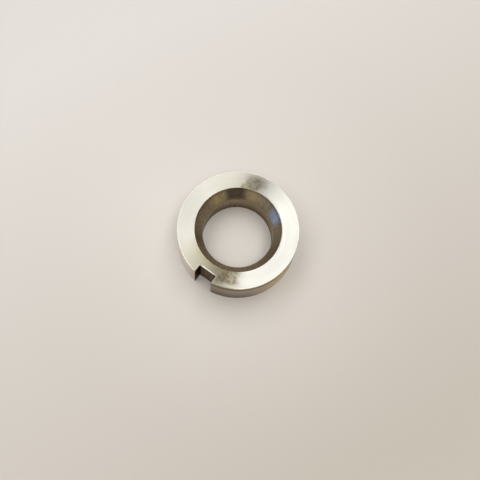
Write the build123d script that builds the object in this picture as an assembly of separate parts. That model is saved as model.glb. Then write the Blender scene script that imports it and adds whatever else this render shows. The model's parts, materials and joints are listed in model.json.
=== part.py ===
"""One-piece steel shaft collar with a tapered bore mouth and an anti-rotation notch in its rim.

The collar is one solid turned from bar: a flat ring with a straight bore that opens, towards +Z, into
a 60 degree taper. One rectangular notch is milled in from the rim through the full width, for a drive
pin or tang. There are no screws, inserts or seals in it.

Frame: the bore's axis is Z, the plain face rests on Z = 0, the tapered mouth faces +Z, and the notch
opens towards -Y. Lengths are millimetres.
"""

from build123d import *

from math import radians, sqrt, tan
import os

# Driving dimensions
OUTSIDE_DIAMETER = 38.1
BORE_DIAMETER = 22.225
WIDTH = 12.7
MOUTH_DIAMETER = 27.1  # where the taper meets the upper face
TAPER_INCLUDED_ANGLE = 60.0
NOTCH_WIDTH = 6.0
NOTCH_DEPTH = 2.85  # from the rim to the notch's flat back, on the notch's centreline

# Edge breaks
RIM_CHAMFER = 0.2
MOUTH_EDGE_BREAK = 0.12
BORE_EXIT_CHAMFER = 0.4
NOTCH_EDGE_BREAK = 0.12
NOTCH_ROOT_RADIUS = 0.25

# Worked out from the dimensions above
OUTSIDE_RADIUS = OUTSIDE_DIAMETER / 2
BORE_RADIUS = BORE_DIAMETER / 2
MOUTH_RADIUS = MOUTH_DIAMETER / 2
TAPER_SLOPE = tan(radians(TAPER_INCLUDED_ANGLE / 2))  # millimetres outwards for each one up
TAPER_DEPTH = (MOUTH_RADIUS - BORE_RADIUS) / TAPER_SLOPE
NOTCH_BACK = OUTSIDE_RADIUS - NOTCH_DEPTH  # distance of the notch's flat back from the bore's axis
NOTCH_OVERRUN = 3.0  # how far the notch's cutting solid runs past the rim and both faces

NODE = "collar_ring"


def turned_blank():
    """The ring as it leaves the lathe: faced, bored, tapered and chamfered."""
    section = Polyline(
        (BORE_RADIUS + BORE_EXIT_CHAMFER, 0),
        (OUTSIDE_RADIUS - RIM_CHAMFER, 0),
        (OUTSIDE_RADIUS, RIM_CHAMFER),
        (OUTSIDE_RADIUS, WIDTH - RIM_CHAMFER),
        (OUTSIDE_RADIUS - RIM_CHAMFER, WIDTH),
        (MOUTH_RADIUS + MOUTH_EDGE_BREAK, WIDTH),
        (MOUTH_RADIUS - MOUTH_EDGE_BREAK * TAPER_SLOPE, WIDTH - MOUTH_EDGE_BREAK),
        (BORE_RADIUS, WIDTH - TAPER_DEPTH),
        (BORE_RADIUS, BORE_EXIT_CHAMFER),
        close=True,
    )
    return revolve(Plane.XZ * make_face(section), Axis.Z)


def notch_cutter():
    """The space that the milling cutter clears: a block with its two inner corners rounded."""
    reach = NOTCH_DEPTH + NOTCH_OVERRUN
    height = WIDTH + 2 * NOTCH_OVERRUN
    block = Pos(0, -(NOTCH_BACK + reach / 2), WIDTH / 2) * Box(NOTCH_WIDTH, reach, height)
    inner_corners = block.edges().filter_by(Axis.Z).group_by(Axis.Y)[-1]
    return fillet(inner_corners, NOTCH_ROOT_RADIUS)


def notch_face_edges(part):
    """The notch's own edges on the two flat faces: its back, its root arcs and its two sides."""
    rim_radius = OUTSIDE_RADIUS - RIM_CHAMFER
    on_faces = [e for e in part.edges() if abs(e.center().Z - WIDTH / 2) > WIDTH / 2 - 1e-6]
    half_width = NOTCH_WIDTH / 2 + 1e-6
    outer_limit = sqrt(rim_radius**2 - (NOTCH_WIDTH / 2) ** 2) + 1e-6

    def in_notch(edge):
        return all(
            abs(v.X) <= half_width and NOTCH_BACK - 1e-6 <= -v.Y <= outer_limit for v in edge.vertices()
        )

    return [e for e in on_faces if in_notch(e)]


def collar_ring():
    """The finished collar."""
    notched = turned_blank() - notch_cutter()
    return chamfer(notch_face_edges(notched), NOTCH_EDGE_BREAK)


def main():
    os.makedirs("parts", exist_ok=True)
    ring = collar_ring()
    ring.label = NODE
    export_step(ring, f"parts/{NODE}.step")
    print(f"{NODE}: {ring.volume:.1f} mm3, taper depth {TAPER_DEPTH:.3f} mm, box {ring.bounding_box().size}")


main()
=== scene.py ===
"""The looks of a one-piece steel shaft collar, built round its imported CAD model.

The CAD ring stays as the frame. Here a finer ring stands for it: the same sizes, with rounded edges and
slightly uneven edge breaks. Its materials are turned, bored, milled and deburred steel. Lengths are
metres, in the CAD's frame: the bore's axis is Z, the plain face is on Z = 0, the tapered mouth faces +Z,
and the notch opens towards -Y.
"""

from math import atan2, cos, hypot, pi, radians, sin, sqrt, tan
from typing import NamedTuple
import json

import bpy
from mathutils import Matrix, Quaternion, Vector, noise
from mathutils.geometry import delaunay_2d_cdt


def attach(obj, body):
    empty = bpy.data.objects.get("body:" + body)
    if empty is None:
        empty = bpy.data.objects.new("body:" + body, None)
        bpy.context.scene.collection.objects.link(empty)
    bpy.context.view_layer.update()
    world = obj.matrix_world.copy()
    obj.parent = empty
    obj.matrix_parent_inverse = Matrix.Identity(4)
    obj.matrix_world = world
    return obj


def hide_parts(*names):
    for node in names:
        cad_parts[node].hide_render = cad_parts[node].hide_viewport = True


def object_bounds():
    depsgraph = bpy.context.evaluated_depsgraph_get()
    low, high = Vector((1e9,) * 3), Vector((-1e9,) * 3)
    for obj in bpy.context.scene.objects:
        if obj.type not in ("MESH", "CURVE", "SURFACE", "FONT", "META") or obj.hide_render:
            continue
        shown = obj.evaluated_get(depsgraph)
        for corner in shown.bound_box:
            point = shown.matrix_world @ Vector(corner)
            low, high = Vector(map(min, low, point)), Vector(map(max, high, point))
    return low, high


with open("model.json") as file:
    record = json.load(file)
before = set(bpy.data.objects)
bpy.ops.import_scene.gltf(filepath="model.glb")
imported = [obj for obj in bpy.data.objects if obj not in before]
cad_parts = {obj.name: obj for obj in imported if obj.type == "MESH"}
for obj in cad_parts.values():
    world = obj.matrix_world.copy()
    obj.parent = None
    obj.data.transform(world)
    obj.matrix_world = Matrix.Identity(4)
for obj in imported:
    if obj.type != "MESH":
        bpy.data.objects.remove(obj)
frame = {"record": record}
cad_low, cad_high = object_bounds()

MM = 0.001

# Sizes that the frame gives
MOUNTS = {mount["name"]: mount for mount in frame["record"]["mounts"]}
BASE, TOP = cad_low.z, cad_high.z
RIM_RADIUS = MOUNTS["rim"]["dims"]["r_mm"] * MM
RIM_CHAMFER = (TOP - BASE - MOUNTS["rim"]["dims"]["length_mm"] * MM) / 2
BORE_RADIUS = MOUNTS["bore"]["dims"]["r_mm"] * MM
BORE_BOTTOM = MOUNTS["bore"]["pos_m"][2]
BORE_TOP = BORE_BOTTOM + MOUNTS["bore"]["dims"]["length_mm"] * MM

# Sizes that the frame gives only in words, or not at all
TAPER_SLOPE = tan(radians(30))
MOUTH_RADIUS = BORE_RADIUS + (TOP - BORE_TOP) * TAPER_SLOPE
MOUTH_EDGE_BREAK = 0.12 * MM
NOTCH_HALF_WIDTH = 3.0 * MM
NOTCH_BACK = RIM_RADIUS - 2.85 * MM
NOTCH_EDGE_BREAK = 0.12 * MM
NOTCH_ROOT_RADIUS = 0.25 * MM

# How rounded and how uneven the edges are
EDGE_RADIUS = 0.06 * MM  # along every chamfer's own two edges
CORNER_RADIUS = 0.05 * MM  # upright, where the notch's sides meet the rim
CHAMFER_WANDER = 0.015 * MM
DEBURR_WANDER = 0.04 * MM
CHAMFER_WAVES, DEBURR_WAVES = 150, 900  # how often they wander, in each metre

# How finely the mesh is cut
TURN_STEPS = 480
SIDE_STEPS = 16
BACK_STEPS = 30
CORNER_STEPS = 5
WALL_STEPS = 12
ARC_STEPS = 4
CHAMFER_STEP = 0.025 * MM
INSIDE_OUTLINE = 1  # Blender's number for triangles that keep inside the outline
SAME_POINT = 1e-6  # in millimetres: points nearer than this are one

FACE, RIM, BORE, NOTCH, EDGE = range(5)  # material indices


# --- Ring outline ----------------------------------------------------------------------------------


def arc(centre, radius, start, end, steps, outwards=1):
    """Points along an arc from start to end, in radians, each with the normal that leaves the metal."""
    points = []
    for i in range(steps + 1):
        angle = start + (end - start) * i / steps
        direction = Vector((cos(angle), sin(angle)))
        points.append((Vector(centre) + radius * direction, outwards * direction))
    return points


def straight(start, end, normal, steps):
    """Points along a straight wall from start to end, each with the wall's normal."""
    return [(Vector(start).lerp(Vector(end), i / steps), Vector(normal)) for i in range(steps + 1)]


def outline(inset):
    """The ring's outer edge seen from above, moved inset into the metal all round, anticlockwise.

    It starts on the rim, just past the notch on the +X side. Each entry is a point, the normal that leaves
    the metal, and whether the point is on the notch's walls.
    """
    radius = RIM_RADIUS - inset
    half = NOTCH_HALF_WIDTH + inset
    back = NOTCH_BACK - inset
    root = NOTCH_ROOT_RADIUS + inset
    corner_x = half + CORNER_RADIUS
    corner_y = -sqrt((radius - CORNER_RADIUS) ** 2 - corner_x**2)
    turn = atan2(corner_x, -corner_y)  # how far round the corner is from -Y
    root_y = -(back + root)

    rim = arc((0, 0), radius, turn - pi / 2, 3 * pi / 2 - turn, TURN_STEPS)
    corner = arc((-corner_x, corner_y), CORNER_RADIUS, 3 * pi / 2 - turn, 2 * pi, CORNER_STEPS)
    side = straight((-half, corner_y), (-half, root_y), (1, 0), SIDE_STEPS)
    inner_corner = arc((root - half, root_y), root, pi, pi / 2, CORNER_STEPS, outwards=-1)
    back_wall = straight((root - half, -back), (half - root, -back), (0, -1), BACK_STEPS)

    flank = corner[1:] + side[1:] + inner_corner[1:]
    mirrored = [(Vector((-p.x, p.y)), Vector((-n.x, n.y))) for p, n in reversed(flank)]
    walls = flank + back_wall[1:] + mirrored[1:]
    return [(p, n, False) for p, n in rim] + [(p, n, True) for p, n in walls]


# --- Edge breaks -----------------------------------------------------------------------------------


def chamfer(inset, size):
    """A rounded 45 degree chamfer, at a distance inset from the wall. Returns how far below the face its
    surface is, and how far its normal tilts from the wall's normal towards the face's."""
    tangent = EDGE_RADIUS * tan(pi / 8)
    inset = max(inset, 0.0)
    if inset <= EDGE_RADIUS * (1 - cos(pi / 4)):
        lean = 1 - inset / EDGE_RADIUS
        rise = sqrt(1 - lean * lean)
        return size + tangent - EDGE_RADIUS * rise, atan2(rise, lean)
    if inset < size + tangent - EDGE_RADIUS * cos(pi / 4):
        return size - inset, pi / 4
    if inset < size + tangent:
        lean = (size + tangent - inset) / EDGE_RADIUS
        rise = sqrt(1 - lean * lean)
        return EDGE_RADIUS * (1 - rise), atan2(rise, lean)
    return 0.0, pi / 2


def wander(point, height, amount, scale):
    """A smooth, repeatable unevenness of up to about amount either way."""
    return amount * noise.noise(Vector((point.x * scale, point.y * scale, height * scale)))


def broken_edge(point, normal, in_notch, inset, height):
    """The surface beside one flat face, at a point of the outline that is inset into the metal.

    Returns how far below the face it is and its normal, with the face taken to be upwards. Where the rim's
    chamfer and the notch's edge break meet, the deeper of the two is the surface.
    """
    rim_size = RIM_CHAMFER + wander(point, height, CHAMFER_WANDER, CHAMFER_WAVES)
    notch_size = NOTCH_EDGE_BREAK + wander(point, height, DEBURR_WANDER, DEBURR_WAVES)
    over_side = max(abs(point.x) - NOTCH_HALF_WIDTH, 0)
    over_back = max(point.y + NOTCH_BACK, 0)
    from_notch = inset if in_notch else hypot(over_side, over_back)
    rim_drop, rim_tilt = chamfer(RIM_RADIUS - point.length, rim_size)
    notch_drop, notch_tilt = chamfer(from_notch, notch_size)
    if rim_drop >= notch_drop:
        outwards, tilt = point.normalized(), rim_tilt
    else:
        side = Vector((-1 if point.x > 0 else 1, 0))
        outwards, tilt = (normal if in_notch else side), notch_tilt
    lean = Vector((outwards.x * cos(tilt), outwards.y * cos(tilt), sin(tilt)))
    return max(rim_drop, notch_drop), lean


def edge_insets():
    """How far in each loop of points beside a flat face is: fine over the rounding, then even."""
    rounding = [EDGE_RADIUS * (1 - cos(pi / 4 * i / ARC_STEPS)) for i in range(ARC_STEPS + 1)]
    even_steps = int((RIM_CHAMFER + EDGE_RADIUS) / CHAMFER_STEP)
    return rounding + [rounding[-1] + CHAMFER_STEP * (i + 1) for i in range(even_steps)]


# --- Bore profile ----------------------------------------------------------------------------------


def bore_profile():
    """Stations down the inside of the ring, from the mouth's face to the plain face: radius, height, the
    angle of the normal in the (radius, height) plane, and the material below the station."""
    exit_radius = BORE_RADIUS + BORE_BOTTOM - BASE
    corners = [
        (MOUTH_RADIUS + 2 * MOUTH_EDGE_BREAK, TOP),
        (MOUTH_RADIUS + MOUTH_EDGE_BREAK, TOP),
        (MOUTH_RADIUS - MOUTH_EDGE_BREAK * TAPER_SLOPE, TOP - MOUTH_EDGE_BREAK),
        (BORE_RADIUS, BORE_TOP),
        (BORE_RADIUS, BORE_BOTTOM),
        (exit_radius, BASE),
        (exit_radius + MOUTH_EDGE_BREAK, BASE),
    ]
    corner_materials = [EDGE, BORE, BORE, EDGE, EDGE]
    stretch_materials = [BORE, BORE, BORE, EDGE, FACE]
    stations = []
    for i in range(1, len(corners) - 1):
        before, corner, after = (Vector(c) for c in corners[i - 1 : i + 2])
        tilts = [atan2(-d.x, d.y) for d in (corner - before, after - corner)]
        turn = (tilts[1] - tilts[0]) % (2 * pi)
        middle = tilts[0] + turn / 2
        centre = corner - Vector((cos(middle), sin(middle))) * EDGE_RADIUS / cos(turn / 2)
        for step in range(ARC_STEPS + 1):
            tilt = tilts[0] + turn * step / ARC_STEPS
            point = centre + EDGE_RADIUS * Vector((cos(tilt), sin(tilt)))
            material = stretch_materials[i - 1] if step == ARC_STEPS else corner_materials[i - 1]
            stations.append((point.x, point.y, tilt, material))
    return stations


# --- Ring mesh -------------------------------------------------------------------------------------


class Shell:
    """Vertices and faces of a closed mesh, with a normal for each corner of each face."""

    def __init__(self):
        self.points, self.faces, self.normals, self.materials = [], [], [], []

    def loop(self, points):
        """Adds a closed loop of points and returns their indices."""
        start = len(self.points)
        self.points += [tuple(p) for p in points]
        return list(range(start, len(self.points)))

    def face(self, corners, normals, material):
        """Adds a face from its corners' indices, in order, with a normal for each."""
        self.faces.append(tuple(corners))
        self.normals += [tuple(n) for n in normals]
        self.materials.append(material)

    def band(self, first, second, first_normals, second_normals, materials, flip=False):
        """Joins two loops of the same length with quads."""
        count = len(first)
        for i in range(count):
            j = (i + 1) % count
            corners = [first[i], first[j], second[j], second[i]]
            normals = [first_normals[i], first_normals[j], second_normals[j], second_normals[i]]
            if flip:
                corners, normals = corners[::-1], normals[::-1]
            self.face(corners, normals, materials[i])

    def flat(self, outer, inner, upwards, material):
        """Fills the flat ring between two loops with triangles that face up, or down if upwards is -1."""
        indices = outer + inner
        points = [Vector(self.points[i][:2]) / MM for i in indices]
        outer_face = list(range(len(outer)))
        inner_edges = [(len(outer) + i, len(outer) + (i + 1) % len(inner)) for i in range(len(inner))]
        triangles = delaunay_2d_cdt(points, inner_edges, [outer_face], INSIDE_OUTLINE, SAME_POINT)[2]
        for triangle in triangles:
            if min(triangle) < len(outer):  # the others fill the bore
                corners = [indices[i] for i in triangle]
                self.face(corners[::upwards], [(0, 0, upwards)] * 3, material)

    def mesh(self, name):
        made = bpy.data.meshes.new(name)
        made.from_pydata(self.points, [], self.faces, shade_flat=False)
        made.polygons.foreach_set("material_index", self.materials)
        made.normals_split_custom_set(self.normals)
        made.validate()
        return made


def edge_loops(shell, face_height, upwards):
    """The loops from a wall's end to the flat face beside it. Returns each loop's indices and normals."""
    loops = []
    for inset in edge_insets():
        points, normals = [], []
        for point, normal, in_notch in outline(inset):
            drop, lean = broken_edge(point, normal, in_notch, inset, face_height)
            points.append((point.x, point.y, face_height - upwards * drop))
            normals.append(Vector((lean.x, lean.y, upwards * lean.z)))
        loops.append((shell.loop(points), normals))
    return loops


def ring_mesh():
    """The whole ring: its walls, its edge breaks, its inside, and last its two flat faces."""
    shell = Shell()
    top, bottom = edge_loops(shell, TOP, 1), edge_loops(shell, BASE, -1)

    edge_line = outline(0)
    wall_normals = [Vector((n.x, n.y, 0)) for _, n, _ in edge_line]
    wall_materials = [NOTCH if in_notch else RIM for _, _, in_notch in edge_line]
    foot, head = bottom[0][0], top[0][0]
    ends = [(Vector(shell.points[a]), Vector(shell.points[b])) for a, b in zip(foot, head)]
    rows = [foot]
    for step in range(1, WALL_STEPS):
        rows.append(shell.loop(low.lerp(high, step / WALL_STEPS) for low, high in ends))
    rows.append(head)
    for lower, upper in zip(rows, rows[1:]):
        shell.band(lower, upper, wall_normals, wall_normals, wall_materials)

    edge_materials = [EDGE] * len(edge_line)
    for loops, flip in ((top, False), (bottom, True)):
        for (outer, outer_normals), (inner, inner_normals) in zip(loops, loops[1:]):
            shell.band(outer, inner, outer_normals, inner_normals, edge_materials, flip)

    bore_loops = []
    for radius, height, tilt, material in bore_profile():
        turns = [2 * pi * i / TURN_STEPS for i in range(TURN_STEPS)]
        points = [(radius * cos(a), radius * sin(a), height) for a in turns]
        normals = [Vector((cos(tilt) * cos(a), cos(tilt) * sin(a), sin(tilt))) for a in turns]
        bore_loops.append((shell.loop(points), normals, [material] * TURN_STEPS))
    for (upper, upper_normals, materials), (lower, lower_normals, _) in zip(bore_loops, bore_loops[1:]):
        shell.band(upper, lower, upper_normals, lower_normals, materials)

    shell.flat(top[-1][0], bore_loops[0][0], 1, FACE)
    shell.flat(bottom[-1][0], bore_loops[-1][0], -1, FACE)
    return shell.mesh("turned_ring")


# --- Camera ----------------------------------------------------------------------------------------

LENS = 67.5  # on a sensor 36 wide
CAMERA_AZIMUTH, CAMERA_ELEVATION, CAMERA_ROLL = 25.85, 74.28, 9.65  # degrees
CAMERA_DISTANCE = 14.58 * RIM_RADIUS
CAMERA_AIM = Vector((0.1256 * RIM_RADIUS, -0.133 * RIM_RADIUS, TOP))


def towards(azimuth, elevation):
    """The direction of an azimuth, in degrees from -Y towards +X, at an elevation above the floor."""
    a, e = radians(azimuth), radians(elevation)
    return Vector((sin(a) * cos(e), -cos(a) * cos(e), sin(e)))


PICTURE_UP = 215.5  # the azimuth that is upwards in the camera's picture


def clock(degrees_round, elevation):
    """A direction by how far clockwise it is from the top of the camera's picture, in degrees."""
    return towards(PICTURE_UP - degrees_round, elevation)


def make_camera():
    data = bpy.data.cameras.new("camera")
    data.lens = LENS
    data.clip_start, data.clip_end = 0.01, 10
    camera = bpy.data.objects.new("camera", data)
    bpy.context.scene.collection.objects.link(camera)
    back = towards(CAMERA_AZIMUTH, CAMERA_ELEVATION)
    camera.location = CAMERA_AIM + back * CAMERA_DISTANCE
    camera.rotation_mode = "QUATERNION"
    roll = Quaternion((0, 0, 1), radians(CAMERA_ROLL))
    camera.rotation_quaternion = (-back).to_track_quat("-Z", "Y") @ roll
    bpy.context.scene.camera = camera


# --- Steel materials -------------------------------------------------------------------------------


class Nodes:
    """A node tree, with short calls for the nodes used here."""

    def __init__(self, owner):
        owner.use_nodes = True
        self.tree = owner.node_tree
        self.tree.nodes.clear()

    def put(self, value, socket):
        """Sets a socket from a number, a colour or vector, or another node's socket."""
        if isinstance(value, bpy.types.NodeSocket):
            self.tree.links.new(value, socket)
        else:
            socket.default_value = value

    def node(self, kind, inputs=(), **settings):
        made = self.tree.nodes.new(kind)
        for name, value in settings.items():
            setattr(made, name, value)
        for name, value in dict(inputs).items():
            self.put(value, made.inputs[name])
        return made

    def math(self, operation, a, b=0.0):
        return self.node("ShaderNodeMath", {0: a, 1: b}, operation=operation).outputs[0]

    def times(self, a, b):
        return self.math("MULTIPLY", a, b)

    def vector(self, operation, a, b=(0, 0, 0)):
        made = self.node("ShaderNodeVectorMath", {0: a, 1: b}, operation=operation)
        return made.outputs["Value" if operation in ("LENGTH", "DOT_PRODUCT") else "Vector"]

    def dot(self, a, b):
        return self.vector("DOT_PRODUCT", a, b)

    def join(self, x, y, z):
        return self.node("ShaderNodeCombineXYZ", {"X": x, "Y": y, "Z": z}).outputs[0]

    def noise(self, vector, scale, detail=2.0, roughness=0.5):
        inputs = {"Vector": vector, "Scale": scale, "Detail": detail, "Roughness": roughness}
        return self.node("ShaderNodeTexNoise", inputs).outputs["Fac"]

    def span(self, value, low, high, out_low=0.0, out_high=1.0):
        """value from low..high, clamped and spread over out_low..out_high."""
        inputs = {"Value": value, "From Min": low, "From Max": high, "To Min": out_low, "To Max": out_high}
        return self.node("ShaderNodeMapRange", inputs).outputs[0]

    def band(self, value, low, high, soft):
        """1 where value is between low and high, fading to 0 over soft either way."""
        rising = self.span(value, low - soft, low + soft)
        falling = self.span(value, high - soft, high + soft, 1.0, 0.0)
        return self.times(rising, falling)

    def mix(self, share, a, b):
        """A colour, from a to b."""
        made = self.node("ShaderNodeMix", data_type="RGBA")
        for socket, value in zip((made.inputs[0], made.inputs[6], made.inputs[7]), (share, a, b)):
            self.put(value, socket)
        return made.outputs[2]


class Mark(NamedTuple):
    """A stretch of the ring, by its direction from the axis."""

    clock: float  # degrees clockwise from the top of the camera's picture
    half_width: float  # degrees
    soft: float  # degrees over which it fades, either way
    strength: float = 1.0


STEEL = (0.525, 0.505, 0.455, 1)
# lighter steel: on the face a painted highlight on one side, on the edges a random film tone
STEEL_LIT_AND_FILM = (0.645, 0.635, 0.59, 1)
STEEL_SHADE = (0.46, 0.445, 0.405, 1)
# painted shade: a darker olive tone on the face, round the two dark fans
OLIVE_PAINTED_SHADE = (0.28, 0.24, 0.115, 1)
# painted reflection: the dark that the turned face mirrors in two fans
PAINTED_DARK_REFLECTION = (0.185, 0.145, 0.075, 1)
RIM_STEEL = (0.47, 0.43, 0.40, 1)
RIM_SHADE = (0.39, 0.355, 0.33, 1)
# painted reflection: gold on one side of the rim, where it mirrors lit floor
RIM_GOLD_REFLECTION = (0.66, 0.56, 0.37, 1)
# pale steel: random fine bands, and on one side of the rim a painted reflection of the room's glow
RIM_PALE = (0.60, 0.55, 0.53, 1)
# painted reflection: a dark brown line just under the rim's upper edge
RIM_PAINTED_DARK_LINE = (0.16, 0.11, 0.045, 1)
# painted shade: the rim darkens towards its foot, where the floor beside it is in shadow
RIM_FOOT_SHADE = (0.13, 0.11, 0.09, 1)
# painted shade and reflection: the bore is painted brown
BORE_PAINTED_BROWN = (0.53, 0.445, 0.325, 1)
# painted shade and reflection: dark bore steel, for streaks, bands and the darker places
BORE_PAINTED_DARK = (0.11, 0.082, 0.058, 1)
# painted shade: umber on one side of the bore
BORE_PAINTED_UMBER = (0.05, 0.025, 0.0, 1)
# painted reflections on the taper: gold, pale and blue bands
TAPER_PAINTED_GOLD = (0.80, 0.675, 0.40, 1)
TAPER_PAINTED_PALE = (0.54, 0.46, 0.34, 1)
TAPER_PAINTED_BLUE = (0.60, 0.72, 1.0, 1)
# painted shade: the notch's walls are dark steel, for the shade in the slot
MILLED_PAINTED_SHADE = (0.10, 0.088, 0.075, 1)
MILLED_LIGHT = (0.47, 0.45, 0.41, 1)
# painted shade: darkest on the notch's two sides
NOTCH_SIDE_PAINTED_SHADE = (0.024, 0.013, 0.004, 1)
# partly painted highlight: edge steel made brighter than steel, so the edges shine as glints
EDGE_STEEL_AND_GLINT = (0.86, 0.825, 0.73, 1)

# What the metal's colour is multiplied by where it is seen at a glancing angle
CLEAN_GLANCE = (1, 1, 1, 1)
RIM_GLANCE = (0.85, 0.72, 0.54, 1)
BORE_GLANCE = (0.78, 0.70, 0.60, 1)
NOTCH_GLANCE = (0.40, 0.32, 0.24, 1)

# Where the painted marks on the steel are. The two dark fans, painted reflections, lie across from each
# other on the face, and each olive painted shade is wider and fainter.
UPPER_DARK_FAN = Mark(20, 11, 2.5, 0.88)
LOWER_DARK_FAN = Mark(192, 12, 2.5)
DARK_FAN_SLANT = 32.0  # how far the upper dark fan leans, in radians for each metre outwards
UPPER_OLIVE_SHADE = Mark(-3, 24, 12, 0.5)
LOWER_OLIVE_SHADE = Mark(218, 34, 12)
PAINTED_LIT_SIDE = 100  # the clock direction in which the face is painted lightest, a painted highlight
# painted shade on the edges: one beside the lower dark fan, one at a notch corner
EDGE_PAINTED_SHADES = (Mark(197, 13, 5, 0.62), Mark(225.4, 1.6, 1, 0.62))
RIM_GOLD_REFLECTION_SIDE = Mark(138, 17, 12)
RIM_PALE_REFLECTION_SIDE = Mark(250, 25, 12)
RIM_LINE_SIDE = Mark(170, 42, 14)
RIM_FOOT_SHADE_SIDE = Mark(187, 28, 14)
# painted shade: the bore is darker on this side
BORE_SHADE_SIDE = Mark(190, 88, 18, 0.75)
# painted shade: where the bore is painted umber
BORE_UMBER_SHADE_SIDE = Mark(258, 16, 14, 0.22)
TAPER_PAINTED_REFLECTIONS = (  # painted reflections on the taper, in the order that they are laid on
    (Mark(44, 18, 8), TAPER_PAINTED_PALE),
    (Mark(20, 7.5, 8), TAPER_PAINTED_GOLD),
    (Mark(-32, 9, 8), TAPER_PAINTED_GOLD),
    (Mark(-3, 13.5, 4, 0.85), BORE_PAINTED_DARK),
    (Mark(68.5, 10, 4), TAPER_PAINTED_BLUE),
)

# Tool lines and noise
MOST = (0.3, 0.7)  # most of a noise's values lie between these
FINE_RELIEF, RELIEF, MILLED_RELIEF = 0.0005 * MM, 0.001 * MM, 0.003 * MM
FACE_PITCH, RIM_PITCH, BORE_PITCH, EDGE_PITCH = 0.10 * MM, 0.14 * MM, 0.12 * MM, 0.08 * MM
FACE_BANDS, RIM_BANDS, RIM_FINE_BANDS = 0.9 * MM, 1.2 * MM, 0.35 * MM
BORE_STREAK_LENGTH, BORE_STREAKS_ROUND = 11 * MM, 7.0
CUTTER_MARKS = (4000.0, 4000.0, 150.0)  # in each metre along X, Y and Z
CUTTER_STREAKS = (2600.0, 2600.0, 70.0)
MOTTLE_SCALE, BLOT_SCALE, RIM_BLOT_SCALE, EDGE_FILM_SCALE = 1000.0, 240.0, 260.0, 900.0  # in each metre
QUARTER_TURN = 0.25  # turns the highlight's stretch across the tool's lines


class Place(Nodes):
    """The nodes of a steel material, with where a point is on the ring."""

    def __init__(self, name):
        self.material = bpy.data.materials.new(name)
        super().__init__(self.material)
        self.position = self.node("ShaderNodeTexCoord").outputs["Object"]
        parts = self.node("ShaderNodeSeparateXYZ", {0: self.position})
        self.x, self.y, self.z = parts.outputs
        flat = self.join(self.x, self.y, 0.0)
        self.radius = self.vector("LENGTH", flat)
        self.spoke = self.vector("NORMALIZE", flat)
        self.round = self.vector("CROSS_PRODUCT", (0, 0, 1), self.spoke)

    def on(self, mark, shift=0.0):
        """The mark's strength within its stretch, fading to 0. shift moves the point, in radians."""
        ahead = self.dot(self.spoke, clock(mark.clock, 0))
        beside = self.dot(self.spoke, clock(mark.clock + 90, 0))
        angle = self.math("ADD", self.math("ARCTAN2", beside, ahead), shift)
        half, fade = radians(mark.half_width), radians(mark.soft)
        return self.span(self.math("ABSOLUTE", angle), half - fade, half + fade, mark.strength, 0.0)

    def lines(self, across, pitch, breakup=2.5):
        """Fine tool lines that run round the ring: across is the distance measured across them, and
        breakup is how often they change in one radian."""
        along = self.vector("MULTIPLY", self.spoke, (breakup, breakup, breakup))
        lane = self.join(0.0, 0.0, self.times(across, 1 / pitch))
        return self.noise(self.vector("ADD", along, lane), 1.0, 2.0, 0.6)

    def streaks(self, scale, roughness):
        """Marks drawn out along one axis. scale is how many there are in each metre along X, Y and Z."""
        return self.noise(self.vector("MULTIPLY", self.position, scale), 1.0, 2.0, roughness)

    def metal(self, colour, roughness, anisotropy, tangent, relief, depth, glance=CLEAN_GLANCE):
        """The finished shader. relief is a height between 0 and 1, and depth is what 1 stands for."""
        bump = self.node("ShaderNodeBump", {"Strength": 1.0, "Distance": depth, "Height": relief})
        inputs = {
            "Base Color": colour,
            "Metallic": 1.0,
            "Specular Tint": glance,
            "Roughness": roughness,
            "Anisotropic": anisotropy,
            "Anisotropic Rotation": QUARTER_TURN,
            "Tangent": tangent,
            "Normal": bump.outputs[0],
        }
        shader = self.node("ShaderNodeBsdfPrincipled", inputs)
        self.node("ShaderNodeOutputMaterial", {"Surface": shader.outputs[0]})
        return self.material


def face_olive_shade(n, waver):
    """How strong the olive painted shade on the face is: strongest beside the mouth."""
    tone_mask = n.math("MAXIMUM", n.on(UPPER_OLIVE_SHADE, waver), n.on(LOWER_OLIVE_SHADE, waver))
    return n.times(tone_mask, n.span(n.radius, MOUTH_RADIUS, RIM_RADIUS - 1.2 * MM, 0.68, 0.34))


def face_dark_fans(n, waver):
    """How dark the two fans of painted reflection on the face are: mottled, and clear of the rim."""
    mid_radius = (MOUTH_RADIUS + RIM_RADIUS) / 2
    slant = n.times(n.math("SUBTRACT", mid_radius, n.radius), DARK_FAN_SLANT)
    upper = n.on(UPPER_DARK_FAN, n.math("ADD", slant, waver))
    dark_fan = n.math("MAXIMUM", upper, n.on(LOWER_DARK_FAN, waver))
    inside = n.span(n.radius, MOUTH_RADIUS, MOUTH_RADIUS + 0.3 * MM, 0.55, 1.0)
    outside = n.span(n.radius, RIM_RADIUS - 1.9 * MM, RIM_RADIUS - 0.7 * MM, 1.0, 0.0)
    mottle = n.span(n.noise(n.position, MOTTLE_SCALE, 3.0, 0.6), 0.40, 0.58, 0.46, 1.0)
    return n.times(n.times(dark_fan, n.times(inside, outside)), n.times(mottle, 0.88))


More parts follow.
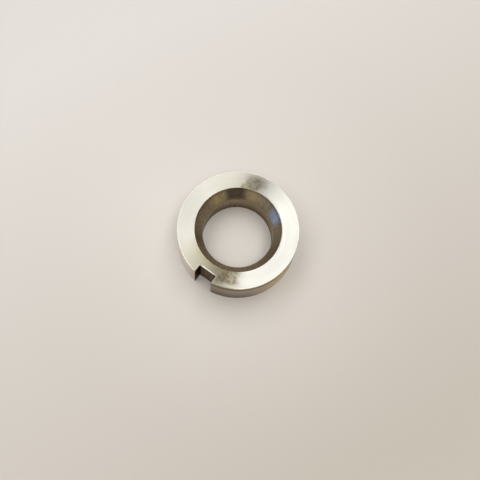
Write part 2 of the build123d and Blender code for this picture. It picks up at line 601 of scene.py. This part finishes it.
def turned_face():
    """The flat faces: bright, finely turned, painted lighter to one side, with an olive painted shade and
    two dark fans of painted reflection.
    """
    n = Place("turned_face")
    bands = n.lines(n.radius, FACE_BANDS, 1.0)
    waver = n.span(n.noise(n.position, BLOT_SCALE), 0.2, 0.8, -0.11, 0.11)
    # painted highlight: the face is painted lighter towards one side, where more light falls on it
    painted_lit = n.span(n.dot(n.position, clock(PAINTED_LIT_SIDE, 0)), -0.8 * RIM_RADIUS, 0.9 * RIM_RADIUS)
    colour = n.mix(painted_lit, STEEL, STEEL_LIT_AND_FILM)
    colour = n.mix(n.span(bands, *MOST, 0.0, 0.35), colour, STEEL_SHADE)
    # painted shade: the olive tone, strongest beside the mouth
    colour = n.mix(face_olive_shade(n, waver), colour, OLIVE_PAINTED_SHADE)
    # painted reflection: two mottled dark fans, across the bore from each other
    colour = n.mix(face_dark_fans(n, waver), colour, PAINTED_DARK_REFLECTION)
    rough = n.span(bands, 0.25, 0.75, 0.33, 0.38)
    return n.metal(colour, rough, 1.0, n.round, n.lines(n.radius, FACE_PITCH), FINE_RELIEF)


def turned_rim():
    """The rim: dull turned steel, painted gold and pale in places as reflections, with painted shade at
    its foot and under its upper edge.
    """
    n = Place("turned_rim")
    bands = n.lines(n.z, RIM_BANDS, 1.2)
    colour = n.mix(n.span(bands, *MOST), RIM_STEEL, RIM_SHADE)
    fine_bands = n.lines(n.z, RIM_FINE_BANDS, 0.8)
    colour = n.mix(n.span(fine_bands, 0.45, 0.75, 0.0, 0.25), colour, RIM_PALE)
    blot = n.noise(n.position, RIM_BLOT_SCALE, 3.0, 0.55)
    # painted reflection: mottled gold on one side of the rim
    colour = n.mix(n.times(n.on(RIM_GOLD_REFLECTION_SIDE), n.span(blot, *MOST, 0.9, 0.55)), colour, RIM_GOLD_REFLECTION)
    # painted reflection: pale on another side of the rim
    colour = n.mix(n.on(RIM_PALE_REFLECTION_SIDE), colour, RIM_PALE)
    # painted reflection: a dark line under the rim's upper edge, on the sides where it shows
    upper_line = n.span(n.z, TOP - 3.4 * MM, TOP - 1.8 * MM, 0.0, 0.82)
    colour = n.mix(n.times(upper_line, n.on(RIM_LINE_SIDE)), colour, RIM_PAINTED_DARK_LINE)
    # painted shade: darker towards the foot, on one side of the rim
    foot = n.span(n.z, BASE, BASE + 9 * MM, 0.88, 0.34)
    colour = n.mix(n.times(foot, n.on(RIM_FOOT_SHADE_SIDE)), colour, RIM_FOOT_SHADE)
    rough = n.span(bands, 0.25, 0.75, 0.33, 0.40)
    return n.metal(colour, rough, 0.95, n.round, n.lines(n.z, RIM_PITCH), RELIEF, RIM_GLANCE)


def bored_wall():
    """The taper and the bore, painted brown and uneven round the bore: painted shade and painted
    reflections.
    """
    n = Place("bored_wall")
    streaks = n.lines(n.z, BORE_STREAK_LENGTH, BORE_STREAKS_ROUND)
    # painted reflection: dark streaks that run along the bore
    colour = n.mix(n.span(streaks, 0.3, 0.75, 0.04, 0.30), BORE_PAINTED_BROWN, BORE_PAINTED_DARK)
    wave = n.span(streaks, *MOST, -0.03, 0.03)
    on_taper = n.span(n.z, BORE_TOP - 0.6 * MM, BORE_TOP + 0.9 * MM)
    # painted reflections: bands round the taper
    for mark, tone in TAPER_PAINTED_REFLECTIONS:
        colour = n.mix(n.times(n.on(mark, wave), on_taper), colour, tone)
    # painted shade: darker by the mouth, by the plain face, and on one side
    by_mouth = n.span(n.z, TOP - 1.3 * MM, TOP - 0.3 * MM, 0.0, 0.5)
    by_exit = n.span(n.z, BASE + 0.8 * MM, BASE + 5.5 * MM, 0.97, 0.42)
    by_exit = n.times(by_exit, n.math("SUBTRACT", 1.0, on_taper))
    painted_shade = n.math("MAXIMUM", n.math("MAXIMUM", by_mouth, by_exit), n.on(BORE_SHADE_SIDE))
    colour = n.mix(painted_shade, colour, BORE_PAINTED_DARK)
    # painted shade: umber on one side of the bore
    colour = n.mix(n.on(BORE_UMBER_SHADE_SIDE, wave), colour, BORE_PAINTED_UMBER)
    rough = n.span(streaks, *MOST, 0.25, 0.31)
    return n.metal(colour, rough, 0.7, n.round, n.lines(n.z, BORE_PITCH), RELIEF, BORE_GLANCE)


def milled_notch():
    """The notch's walls: painted dark as shade, with lighter cutter marks that run up them, and painted
    darkest on the two sides.
    """
    n = Place("milled_notch")
    tone_mask = n.streaks(CUTTER_STREAKS, 0.5)
    colour = n.mix(n.span(tone_mask, *MOST), MILLED_PAINTED_SHADE, MILLED_LIGHT)
    # painted shade: darker towards the notch's two sides
    side_shade = n.span(n.math("ABSOLUTE", n.x), 2.2 * MM, NOTCH_HALF_WIDTH - 0.1 * MM, 0.0, 0.9)
    colour = n.mix(side_shade, colour, NOTCH_SIDE_PAINTED_SHADE)
    rough = n.span(tone_mask, *MOST, 0.36, 0.46)
    upwards = n.join(0.0, 0.0, 1.0)
    return n.metal(colour, rough, 0.6, upwards, n.streaks(CUTTER_MARKS, 0.6), MILLED_RELIEF, NOTCH_GLANCE)


def broken_edge_steel():
    """The chamfers and edge breaks: bright steel, partly a painted highlight, with painted shade beside
    the lower dark fan and at a notch corner.
    """
    n = Place("broken_edge")
    tone_mask = n.noise(n.position, EDGE_FILM_SCALE, 3.0, 0.6)
    # partly painted highlight: bright edge steel, with a random duller film
    colour = n.mix(n.span(tone_mask, 0.35, 0.7, 0.0, 0.6), EDGE_STEEL_AND_GLINT, STEEL_LIT_AND_FILM)
    # painted shade: the edges are darkened beside the lower dark fan and at a notch corner
    for mark in EDGE_PAINTED_SHADES:
        colour = n.mix(n.on(mark), colour, PAINTED_DARK_REFLECTION)
    rough = n.span(tone_mask, *MOST, 0.44, 0.52)
    lines = n.lines(n.math("ADD", n.radius, n.z), EDGE_PITCH)
    return n.metal(colour, rough, 0.2, n.round, lines, FINE_RELIEF)


def ring_materials():
    """One material for each of FACE, RIM, BORE, NOTCH and EDGE, in that order."""
    return [turned_face(), turned_rim(), bored_wall(), milled_notch(), broken_edge_steel()]


# --- Studio ----------------------------------------------------------------------------------------

FLOOR_RADIUS = 60 * RIM_RADIUS
FLOOR_SIDES = 96
FLOOR_GAP = 0.01 * MM  # keeps the floor and the ring's plain face apart
# painted light: the floor is painted lighter to one side and dimmer to the other
FLOOR_BRIGHT = (0.67, 0.637, 0.614, 1)
FLOOR_DIM = (0.497, 0.45, 0.40, 1)
FLOOR_DIM_SIDE = 150  # the clock direction in which the floor is painted dimmer, a painted falloff of the light
FLOOR_FADE = 4.2 * RIM_RADIUS  # how far from the ring the floor is brightest and dimmest
FLOOR_PAINTED_POOL = (0.95, 0.90, 0.84, 1)  # painted pool of light: the floor is a little lighter under and round the ring
# painted falloff of the light: the floor is darker far from the ring
FLOOR_FAR_FALLOFF = (0.60, 0.565, 0.52, 1)
FLOOR_GRAIN_SCALE = 900.0  # in each metre


def make_floor():
    turns = [2 * pi * i / FLOOR_SIDES for i in range(FLOOR_SIDES)]
    points = [(FLOOR_RADIUS * cos(a), FLOOR_RADIUS * sin(a), BASE - FLOOR_GAP) for a in turns]
    mesh = bpy.data.meshes.new("floor")
    mesh.from_pydata(points, [], [range(FLOOR_SIDES)])
    mesh.materials.append(pale_board())
    floor = bpy.data.objects.new("floor", mesh)
    bpy.context.scene.collection.objects.link(floor)


def pale_board():
    material = bpy.data.materials.new("pale_board")
    nodes = Nodes(material)
    position = nodes.node("ShaderNodeTexCoord").outputs["Object"]
    # painted light: a gradient from the lighter side to the dimmer side
    away = nodes.dot(position, clock(FLOOR_DIM_SIDE, 0))
    colour = nodes.mix(nodes.span(away, -FLOOR_FADE, FLOOR_FADE), FLOOR_BRIGHT, FLOOR_DIM)
    grain = nodes.noise(position, FLOOR_GRAIN_SCALE, 3.0, 0.6)
    colour = nodes.mix(nodes.span(grain, *MOST, 0.0, 0.04), colour, FLOOR_DIM)
    distance = nodes.vector("LENGTH", position)
    # painted pool of light round the ring, and painted falloff far from it
    middle = nodes.span(distance, 0.4 * RIM_RADIUS, 3.8 * RIM_RADIUS, 0.6, 0.0)
    colour = nodes.mix(nodes.times(middle, middle), colour, FLOOR_PAINTED_POOL)
    colour = nodes.mix(nodes.span(distance, 5 * RIM_RADIUS, 14 * RIM_RADIUS), colour, FLOOR_FAR_FALLOFF)
    inputs = {"Base Color": colour, "Roughness": 0.8, "Specular IOR Level": 0.2}
    shader = nodes.node("ShaderNodeBsdfPrincipled", inputs)
    nodes.node("ShaderNodeOutputMaterial", {"Surface": shader.outputs[0]})
    return material


# The ceiling's two panels lie in a plane one unit above the ring. Distances in that plane are measured
# from the point that the turned face mirrors into the camera: along the gap between the panels, and
# across it. The gap gives the face a dark fan on each side of the bore.
GAP_CLOCK = 22.0
MIRRORED_UP = tan(radians(90 - CAMERA_ELEVATION))
LOWEST_HEIGHT = 0.01  # directions lower than this are taken to be this high
PANEL_LENGTH = (-0.75, 0.72, 0.1)  # along the gap: from, to, and how soft the ends are
LEFT_WIDTH = (-0.75, -0.09, 0.03)  # across the gap, likewise
RIGHT_WIDTH = (0.09, 0.52, 0.03)
LEFT_PANEL = (2.45, 2.47, 2.42, 1)
RIGHT_PANEL = (3.55, 3.6, 3.6, 1)
LOW_TONE = (0.34, 0.31, 0.27, 1)
ROOM_TONE = (0.28, 0.245, 0.20, 1)
LOW_GLOWS = (  # near the horizon: clock direction, half width in degrees, colour
    (266, 54, (1.25, 1.3, 1.35, 1)),
    (65, 15, (1.5, 1.5, 1.5, 1)),
    (172, 22, (1.3, 1.27, 1.2, 1)),
    (-10, 24, (0.95, 0.95, 0.95, 1)),
)
GLOW_HEIGHTS = (0.04, 0.5, 0.06)  # the sine of the elevation: from, to, and how soft the ends are
GLOW_SOFT = 6.0  # degrees
BACKDROP = (0.74, 0.70, 0.65, 1)  # what the camera sees past the floor


def low_glows(nodes, direction, height, colour):
    """Lays the glows near the horizon over a colour."""
    level = nodes.math("SQRT", nodes.math("SUBTRACT", 1.0001, nodes.times(height, height)))
    low_band = nodes.band(height, *GLOW_HEIGHTS)
    for glow_clock, half_width, tone in LOW_GLOWS:
        facing = nodes.math("DIVIDE", nodes.dot(direction, clock(glow_clock, 0)), level)
        edges = cos(radians(half_width + GLOW_SOFT)), cos(radians(half_width - GLOW_SOFT))
        colour = nodes.mix(nodes.times(nodes.span(facing, *edges), low_band), colour, tone)
    return colour


def make_world():
    """A dim plain room with two ceiling panels and low soft glows."""
    world = bpy.data.worlds.new("studio")
    bpy.context.scene.world = world
    nodes = Nodes(world)
    direction = nodes.node("ShaderNodeTexCoord").outputs["Generated"]
    height = nodes.node("ShaderNodeSeparateXYZ", {0: direction}).outputs["Z"]
    colour = nodes.mix(nodes.span(height, 0.10, 0.45), LOW_TONE, ROOM_TONE)
    colour = low_glows(nodes, direction, height, colour)

    safe_height = nodes.math("MAXIMUM", height, LOWEST_HEIGHT)
    mirrored = clock(0, 0) * MIRRORED_UP

    def from_mirrored(axis):
        on_ceiling = nodes.math("DIVIDE", nodes.dot(direction, axis), safe_height)
        return nodes.math("SUBTRACT", on_ceiling, mirrored.dot(axis))

    along = from_mirrored(clock(GAP_CLOCK, 0))
    across = from_mirrored(clock(GAP_CLOCK + 90, 0))
    length = nodes.band(along, *PANEL_LENGTH)
    for width, tone in ((LEFT_WIDTH, LEFT_PANEL), (RIGHT_WIDTH, RIGHT_PANEL)):
        colour = nodes.mix(nodes.times(nodes.band(across, *width), length), colour, tone)

    seen = nodes.node("ShaderNodeLightPath").outputs["Is Camera Ray"]
    colour = nodes.mix(seen, colour, BACKDROP)
    background = nodes.node("ShaderNodeBackground", {"Color": colour, "Strength": 1.0})
    nodes.node("ShaderNodeOutputWorld", {"Surface": background.outputs[0]})


# --- Making the scene ------------------------------------------------------------------------------

make_camera()
make_world()
make_floor()

ring = bpy.data.objects.new("turned_ring", ring_mesh())
bpy.context.scene.collection.objects.link(ring)
for material in ring_materials():
    ring.data.materials.append(material)
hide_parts("collar_ring")
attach(ring, "root")
bpy.context.scene.view_settings.view_transform = "Standard"
